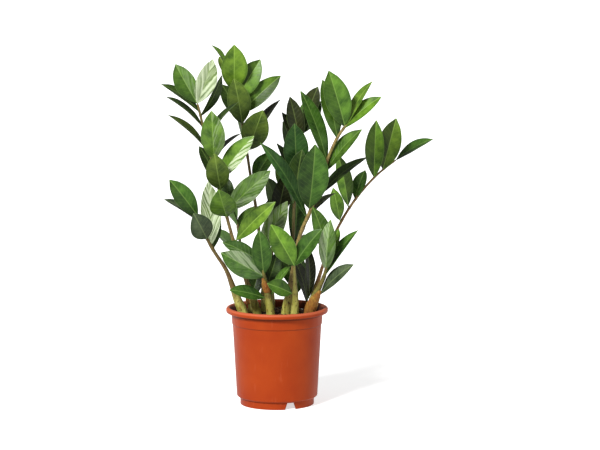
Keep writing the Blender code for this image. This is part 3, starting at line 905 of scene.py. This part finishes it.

# each leaf's tone: the darkest tones paint shade, light paints light and shade on each half, and pale
# paints glare streaks
LEAF_TONES = {
    "tip_leaf_a1": DEEP._replace(light=(0.8, 1.3)),
    "tip_leaf_a2": PAINTED_GLARE,
    "tip_leaf_a3": DULL,
    "leaf_a1": DULL._replace(light=(1.3, 1.0)),
    "leaf_a2": PAINTED_SHADE,
    "tip_leaf_b1": PAINTED_GLARE,
    "tip_leaf_b2": MIDDLE._replace(light=(0.75, 1.1), pale=(0, 0.12)),
    "tip_leaf_b3": PAINTED_SHADE,
    "tip_leaf_b4": PAINTED_SHADE._replace(light=(1.5, 1.5)),
    "tip_leaf_b5": PAINTED_SHADE,
    "tip_leaf_b6": PAINTED_SHADE,
    "leaf_b1": OLIVE._replace(light=(0.6, 0.6)),
    "leaf_b2": PAINTED_DEEP_SHADE,
    "leaf_b3": FRESH._replace(light=(1, 0.85), pale=(0.03, 0.22)),
    "leaf_b4": FRESH._replace(pale=(0, 0.95)),
    "leaf_b5": PAINTED_SHADE,
    "leaf_b6": OLIVE,
    "leaf_b7": PAINTED_SHADE,
    "leaf_b8": MIDDLE._replace(light=(0.9, 0.75), pale=(0.12, 0.22)),
    "leaf_b9": FRESH._replace(light=(0.9, 0.75)),
    "leaf_b10": YOUNG._replace(light=(0.75, 0.95)),
    "tip_leaf_c1": YOUNG,
    "tip_leaf_c2": FRESH,
    "tip_leaf_c3": OLIVE._replace(light=(1.4, 1.4)),
    "tip_leaf_c4": FRESH._replace(light=(0.45, 1.05)),
    "tip_leaf_c5": FRESH._replace(light=(0.75, 0.45)),
    "tip_leaf_c6": PAINTED_SHADE._replace(light=(0.9, 1.2)),
    "leaf_c1": PAINTED_SHADE,
    "leaf_c2": OLIVE._replace(light=(1.0, 1.15)),
    "leaf_c3": PAINTED_DEEP_SHADE,
    "leaf_c4": OLIVE._replace(light=(1.1, 0.8)),
    "leaf_c5": PAINTED_SHADE,
    "leaf_c6": DEEP._replace(light=(1.1, 0.5)),
    "leaf_c7": FRESH._replace(light=(1, 0.7), pale=(0.4, 0.25)),
    "tip_leaf_d1": MIDDLE._replace(light=(0.75, 1.2)),
    "tip_leaf_d2": MIDDLE._replace(light=(0.9, 0.6)),
    "tip_leaf_d3": YOUNG,
    "tip_leaf_d4": DEEP,
    "tip_leaf_d5": FRESH,
    "leaf_d1": MIDDLE._replace(light=(0.9, 0.8)),
    "leaf_d2": PAINTED_SHADE._replace(light=(1.4, 1.4)),
    "leaf_d3": DEEP._replace(light=(0.7, 1.2)),
    "leaf_d4": PAINTED_DEEP_SHADE,
    "leaf_d5": BLUE._replace(light=(1.35, 0.8)),
    "tip_leaf_e1": YOUNG._replace(light=(0.3, 0.9)),
    "tip_leaf_e2": FRESH._replace(light=(0.45, 1.2)),
    "tip_leaf_e3": DEEP._replace(light=(1.3, 0.9)),
    "tip_leaf_e4": DEEP,
    "leaf_e1": FRESH._replace(light=(1.1, 0.35)),
    "leaf_e2": FRESH,
    "leaf_e3": DEEP._replace(pale=(0.3, 0)),
    "tip_leaf_f1": PAINTED_DEEP_SHADE._replace(light=(1.6, 1.6)),
    "tip_leaf_f2": PAINTED_DEEP_SHADE._replace(light=(1.5, 1.5)),
    "tip_leaf_f3": PAINTED_SHADE,
    "tip_leaf_f4": MIDDLE._replace(light=(1.0, 0.8)),
    "tip_leaf_f5": PAINTED_DEEP_SHADE,
    "tip_leaf_f6": BLUE._replace(light=(0.8, 0.9)),
    "tip_leaf_f7": PAINTED_DEEP_SHADE,
    "tip_leaf_f8": PAINTED_SHADE,
    "tip_leaf_f9": PAINTED_SHADE._replace(light=(1.3, 0.8)),
    "tip_leaf_f10": PAINTED_SHADE,
    "leaf_f1": PAINTED_SHADE,
    "leaf_f2": PAINTED_SHADE,
    "leaf_f3": DEEP._replace(light=(0.7, 0.9)),
    "leaf_f4": DEEP,
    "leaf_f5": DEEP._replace(light=(0.8, 0.6)),
    "tip_leaf_g1": MIDDLE._replace(light=(1, 0.7)),
    "tip_leaf_g2": MIDDLE._replace(light=(1.2, 0.8), pale=(0.45, 0.1)),
    "tip_leaf_g3": DEEP._replace(light=(1.2, 0.8)),
    "tip_leaf_g4": FRESH,
    "leaf_g1": DULL,
    "leaf_g2": PAINTED_DEEP_SHADE,
    "leaf_g3": PAINTED_DEEP_SHADE,
    "tip_leaf_h1": FRESH._replace(light=(0.8, 1.2)),
    "tip_leaf_h2": DEEP,
    "leaf_h1": MIDDLE._replace(light=(0.9, 0.7)),
    "tip_leaf_i1": DEEP,
    "tip_leaf_i2": DEEP._replace(light=(1.1, 0.8), pale=(0.15, 0)),
    "tip_leaf_i3": DEEP._replace(light=(1.2, 1.0), pale=(0.05, 0.35)),
    "leaf_i1": MIDDLE,
    "leaf_i2": DEEP,
    "tip_leaf_j1": MIDDLE,
    "tip_leaf_j2": DEEP,
    "tip_leaf_j3": FRESH,
    "tip_leaf_j4": PAINTED_SHADE,
    "leaf_j1": DEEP,
    "tip_leaf_k1": YOUNG,
    "tip_leaf_k2": PAINTED_SHADE,
    "tip_leaf_k3": PAINTED_DEEP_SHADE,
    "tip_leaf_k4": PAINTED_DEEP_SHADE,
    "leaf_k1": PAINTED_SHADE,
}

# a stem that isn't here stands in the others' shade
STEM_TONES = {
    "a": (0.085, 0.048, 0.018),
    "b": (0.145, 0.095, 0.034),
    "c": (0.075, 0.048, 0.014),
    "d": (0.230, 0.160, 0.056),
    "e": (0.150, 0.062, 0.020),
    "g": (0.100, 0.085, 0.020),
    "h": (0.120, 0.110, 0.026),
    "i": (0.130, 0.120, 0.024),
}
SHADED_STEM = (0.050, 0.042, 0.012)


def painted_glare_streaks(tree, across, run, drift, patches):
    """Streaks of painted glare, light reflected off the leaf painted into its colour, slanted like the side
    veins.
    """
    slant = maths(tree, "MULTIPLY", maths(tree, "ABSOLUTE", across), 0.35)
    slant = maths(tree, "SUBTRACT", slant, run)
    slant = maths(tree, "ADD", slant, maths(tree, "MULTIPLY", patches, 2.2))
    aside = maths(tree, "MULTIPLY", across, 0.05)
    place = add(tree, "CombineXYZ", {0: slant, 1: aside, 2: drift}).outputs[0]
    return fade(tree, grain(tree, place, 0.9, 6), 0.36, 0.62)


def leaf_vein(tree, run, edge, patches):
    """Side veins: 1 on each, a little wavy, fading out towards the margin."""
    wobble = maths(tree, "ADD", run, maths(tree, "MULTIPLY", patches, 0.5))
    comb = maths(tree, "PINGPONG", wobble, 0.5)
    return maths(tree, "MULTIPLY", fade(tree, comb, 0.09, 0.0), fade(tree, edge, 0.3, 3.0))


def leaf_skin(tree, paint, place_marks, vein, patches):
    """The blade's colour: patchy, darker to its foot, with painted shade towards its rim, and a pale
    midrib, veins and margin.
    """
    across, edge, share = place_marks
    deeper = blend(tree, 1.0, paint, (0.45, 0.50, 0.45, 1), "MULTIPLY")
    lighter = blend(tree, 1.0, paint, (1.7, 1.45, 1.5, 1), "MULTIPLY")
    light = blend(tree, 0.16, lighter, (0.30, 0.42, 0.12, 1))
    midrib = fade(tree, maths(tree, "ABSOLUTE", across), 0.9, 0.25)
    margin = fade(tree, edge, 0.5, 0.1)
    colour = blend(tree, spread(tree, patches, 0.0, 1.0), deeper, lighter)
    # painted shade: the blade darker towards its rim
    colour = tint(tree, colour, deeper, fade(tree, edge, 3.2, 0.6), 0.5)
    colour = tint(tree, colour, deeper, fade(tree, share, 0.3, 0.05), 0.4)
    colour = tint(tree, colour, light, midrib, 0.8)
    colour = tint(tree, colour, light, vein, 0.3)
    return tint(tree, colour, light, margin, 0.7)


def leaf_material():
    fixed = {"Coat Weight": 0.03, "Coat Roughness": 0.2, "Specular IOR Level": 0.3, "IOR": 1.3}
    material, tree = new_look("zz_leaf", fixed)
    place_marks = split(tree, attribute(tree, "leaf_place").outputs["Vector"])
    run, under, drift = split(tree, attribute(tree, "leaf_mark").outputs["Vector"])
    paint = attribute(tree, "leaf_colour").outputs
    place = object_place(tree)
    patches = grain(tree, place, 95, 4)
    cells = grain(tree, place, 900, 2)
    vein = leaf_vein(tree, run, place_marks[1], patches)
    colour = leaf_skin(tree, paint["Color"], place_marks, vein, patches)
    back = blend(tree, 0.35, colour, (0.06, 0.11, 0.03, 1))
    colour = blend(tree, under, colour, back)
    # painted glare: pale streaks standing in for light reflected off the leaf
    glare_streaks = painted_glare_streaks(tree, place_marks[0], run, drift, patches)
    glare_streaks = maths(tree, "MULTIPLY", paint["Alpha"], glare_streaks)
    colour = blend(tree, glare_streaks, colour, (0.40, 0.46, 0.30, 1))
    gloss = maths(tree, "ADD", spread(tree, cells, 0.36, 0.46), maths(tree, "MULTIPLY", under, 0.2))
    relief = maths(tree, "ADD", maths(tree, "MULTIPLY", vein, -0.6), maths(tree, "MULTIPLY", cells, 0.12))
    relief = maths(tree, "ADD", relief, maths(tree, "MULTIPLY", patches, 0.8))
    dress(material, colour, gloss, relief, 0.2 * MM)
    return material


def stem_skin(tree, paint, high, blotch):
    """A stem's colour well above its foot, greener in blotches and towards its end."""
    greener = blend(tree, 0.6, paint, (0.060, 0.080, 0.014, 1))
    upper = blend(tree, spread(tree, blotch, 0.0, 0.7), paint, greener)
    return tint(tree, upper, greener, high, 0.4)


def stem_material():
    """Olive to brown above, a pale yellow-green foot with brown speckles and darker streaks."""
    material, tree = new_look("zz_stem", {"Specular IOR Level": 0.2})
    height, share, joint = split(tree, attribute(tree, "stem_place").outputs["Vector"])
    paint = attribute(tree, "stem_colour").outputs["Color"]
    place = object_place(tree)
    speckle = grain(tree, place, 520, 3, (1, 1, 0.5))
    fibres = grain(tree, place, 620, 3, (1, 1, 0.05))
    bands = grain(tree, place, 190, 3, (1, 1, 0.10))
    blotch = grain(tree, place, 120, 3)
    low = fade(tree, height, 40.0, 10.0)
    high = fade(tree, share, 0.4, 0.95)
    foot = spread(tree, bands, 0.0, 1.0)
    foot = blend(tree, foot, (0.170, 0.175, 0.022, 1), (0.440, 0.420, 0.110, 1))
    rust = maths(tree, "MULTIPLY", fade(tree, blotch, 0.56, 0.66), low)
    colour = blend(tree, low, stem_skin(tree, paint, high, blotch), foot)
    colour = blend(tree, spread(tree, fibres, 0.0, 0.35), colour, (0.125, 0.075, 0.016, 1))
    colour = tint(tree, colour, (0.045, 0.022, 0.008, 1), fade(tree, speckle, 0.57, 0.66), 0.8)
    colour = tint(tree, colour, (0.17, 0.062, 0.012, 1), rust, 0.6)
    colour = tint(tree, colour, (0.035, 0.026, 0.008, 1), joint, 0.5)
    relief = maths(tree, "ADD", speckle, fibres)
    dress(material, colour, spread(tree, speckle, 0.40, 0.60), relief, 0.25 * MM)
    return material


def pot_inside(tree, x, y):
    """1 on the faces that look at the pot's axis."""
    aside = {0: maths(tree, "SUBTRACT", x, POT_AXIS.x), 1: maths(tree, "SUBTRACT", y, POT_AXIS.y)}
    outward = add(tree, "CombineXYZ", aside).outputs[0]
    normal = add(tree, "NewGeometry", {}).outputs["Normal"]
    facing = add(tree, "VectorMath", {0: outward, 1: normal}, operation="DOT_PRODUCT")
    return fade(tree, facing.outputs["Value"], -2 * MM, -20 * MM)


def painted_lip_and_ledge_shade(tree, z):
    """Painted shade: the dark lines under the lip and at the nesting ledge."""
    under_lip = band(tree, z, POT_LIP - 2.2 * MM, POT_LIP + 0.3 * MM, 0.5 * MM)
    ledge = band(tree, z, POT_LEDGE - 0.9 * MM, POT_LEDGE + 0.1 * MM, 0.3 * MM)
    under_lip = maths(tree, "MULTIPLY", under_lip, 0.75)
    return maths(tree, "MAXIMUM", under_lip, maths(tree, "MULTIPLY", ledge, 0.45))


def pot_material():
    """Terracotta-coloured plastic with faint clouds and scuffs; inside, painted shade mottled with soil
    dirt; painted shade lines under the lip and at the ledge; and a painted highlight on the lip's top.
    """
    material, tree = new_look("pot_plastic", {"Specular IOR Level": 0.3, "IOR": 1.22})
    place = object_place(tree)
    x, y, z = split(tree, place)
    clouds = grain(tree, place, 22, 3)
    scuffs = grain(tree, place, 260, 5, (1, 1, 0.18))
    skin = grain(tree, place, 1500, 2)
    colour = spread(tree, clouds, 0.0, 1.0)
    colour = blend(tree, colour, (0.190, 0.020, 0.0022, 1), (0.230, 0.030, 0.0030, 1))
    colour = tint(tree, colour, (0.30, 0.07, 0.03, 1), fade(tree, scuffs, 0.62, 0.75), 0.15)
    # painted shade on the inner wall, mottled with soil dirt
    inner_shade_and_dirt = maths(tree, "MULTIPLY", pot_inside(tree, x, y), spread(tree, scuffs, 0.65, 0.95))
    colour = blend(tree, inner_shade_and_dirt, colour, (0.030, 0.010, 0.005, 1))
    # painted shade under the lip and in the ledge's crease
    colour = blend(tree, painted_lip_and_ledge_shade(tree, z), colour, (0.075, 0.012, 0.003, 1))
    # painted highlight along the lip's top
    painted_lip_highlight = fade(tree, z, POT_TOP - 3.5 * MM, POT_TOP - 1.0 * MM)
    colour = tint(tree, colour, (0.46, 0.125, 0.062, 1), painted_lip_highlight, 0.45)
    relief = maths(tree, "ADD", maths(tree, "MULTIPLY", skin, 0.5), maths(tree, "MULTIPLY", clouds, 0.6))
    dress(material, colour, spread(tree, scuffs, 0.36, 0.50), relief, 0.12 * MM)
    return material


def soil_material():
    """Dark peat with paler fibres."""
    material, tree = new_look("potting_soil", {"Specular IOR Level": 0.2})
    place = object_place(tree)
    coarse = grain(tree, place, 260, 4)
    fine = grain(tree, place, 1300, 3)
    colour = blend(tree, spread(tree, coarse, 0.0, 1.0), (0.022, 0.011, 0.006, 1), (0.095, 0.042, 0.020, 1))
    colour = blend(tree, fade(tree, fine, 0.58, 0.70), colour, (0.19, 0.095, 0.045, 1))
    dress(material, colour, spread(tree, fine, 0.8, 1.0), maths(tree, "ADD", coarse, fine), 1.1 * MM)
    return material


def crumb_material():
    material, tree = new_look("soil_crumb", {"Specular IOR Level": 0.2})
    place = object_place(tree)
    fine = grain(tree, place, 1600, 3)
    paint = attribute(tree, "crumb_colour").outputs["Color"]
    colour = blend(tree, spread(tree, fine, 0.0, 0.6), paint, (0.02, 0.012, 0.008, 1))
    dress(material, colour, spread(tree, fine, 0.75, 0.98), fine, 0.4 * MM)
    return material


def sheath_material():
    material, tree = new_look("dry_sheath", {"Specular IOR Level": 0.25})
    place = object_place(tree)
    fibres = grain(tree, place, 900, 3, (1, 1, 0.07))
    stains = grain(tree, place, 170, 4)
    colour = blend(tree, spread(tree, stains, 0.0, 1.0), (0.20, 0.058, 0.008, 1), (0.27, 0.150, 0.020, 1))
    colour = blend(tree, spread(tree, fibres, 0.0, 0.75), colour, (0.075, 0.022, 0.005, 1))
    dress(material, colour, spread(tree, fibres, 0.6, 0.85), fibres, 0.35 * MM)
    return material


def rhizome_material():
    material, tree = new_look("rhizome_skin", {"Specular IOR Level": 0.3})
    place = object_place(tree)
    skin = grain(tree, place, 300, 4)
    rings = grain(tree, place, 500, 2, (0.08, 0.08, 1))
    colour = blend(tree, spread(tree, skin, 0.0, 1.0), (0.24, 0.14, 0.06, 1), (0.42, 0.29, 0.15, 1))
    colour = blend(tree, fade(tree, rings, 0.58, 0.68), colour, (0.12, 0.07, 0.03, 1))
    dress(material, colour, spread(tree, skin, 0.6, 0.8), maths(tree, "ADD", skin, rings), 0.5 * MM)
    return material


# ---- stage, light and camera

FLOOR_RADIUS = 60
CAMERA_LENS = 142
CAMERA_PLACE = Vector((0.027, -2.75, 0.566))  # from the middle of the pot's foot
CAMERA_TARGET = Vector((0.027, 0, 0.212))


def look_at(item, place, target):
    """Put a light or camera at a place, facing the target."""
    item.location = place
    item.rotation_euler = (target - place).to_track_quat("-Z", "Y").to_euler()


def floor_material():
    fixed = {"Specular IOR Level": 0.1, "Roughness": 0.9}
    fixed |= {"Emission Color": (1, 1, 1, 1), "Emission Strength": 0.62}
    material, tree = new_look("pale_floor", fixed)
    paper = grain(tree, object_place(tree), 6, 2)
    colour = blend(tree, paper, (0.60, 0.60, 0.60, 1), (0.64, 0.64, 0.64, 1))
    tree.links.new(colour, tree.nodes["Principled BSDF"].inputs["Base Color"])
    return material


def make_floor():
    """A pale disc so wide that its edge is the horizon."""
    bm = bmesh.new()
    bmesh.ops.create_circle(bm, cap_ends=True, segments=64, radius=FLOOR_RADIUS)
    floor = linked("floor", mesh_of("floor", bm))
    floor.location.z = -0.05 * MM
    floor.data.materials.append(floor_material())


def add_light(name, place, size, power):
    """A sun that shines on the object from a place, as wide as an angle in degrees."""
    lamp = bpy.data.lights.new(name, "SUN")
    lamp.angle = math.radians(size)
    lamp.energy = power
    look_at(linked(name, lamp), Vector(place), Vector())


def make_world():
    world = bpy.data.worlds.new("studio")
    world.use_nodes = True
    backdrop = world.node_tree.nodes["Background"]
    backdrop.inputs["Color"].default_value = (1, 1, 1, 1)
    backdrop.inputs["Strength"].default_value = 0.4
    bpy.context.scene.world = world


def make_camera():
    lens = bpy.data.cameras.new("camera")
    lens.lens = CAMERA_LENS
    lens.sensor_width = 36
    camera = linked("camera", lens)
    look_at(camera, POT_FOOT + CAMERA_PLACE, POT_FOOT + CAMERA_TARGET)
    bpy.context.scene.camera = camera


def make_stage():
    make_floor()
    make_world()
    bpy.context.scene.view_settings.view_transform = "Standard"
    add_light("key", (-0.8, -1.3, 1.1), 14, 6.0)
    add_light("fill", (1.5, -0.8, 0.6), 40, 0.8)
    make_camera()


def main():
    make_stage()
    make_pot(pot_material())
    make_soil(soil_material())
    roots = make_fronds()
    make_crumbs(crumb_material(), roots)
    for node in sorted(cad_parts):
        if node.startswith("sheath"):
            make_sheath(node, sheath_material())
        elif node.startswith("rhizome"):
            make_rhizome(node, rhizome_material())


main()
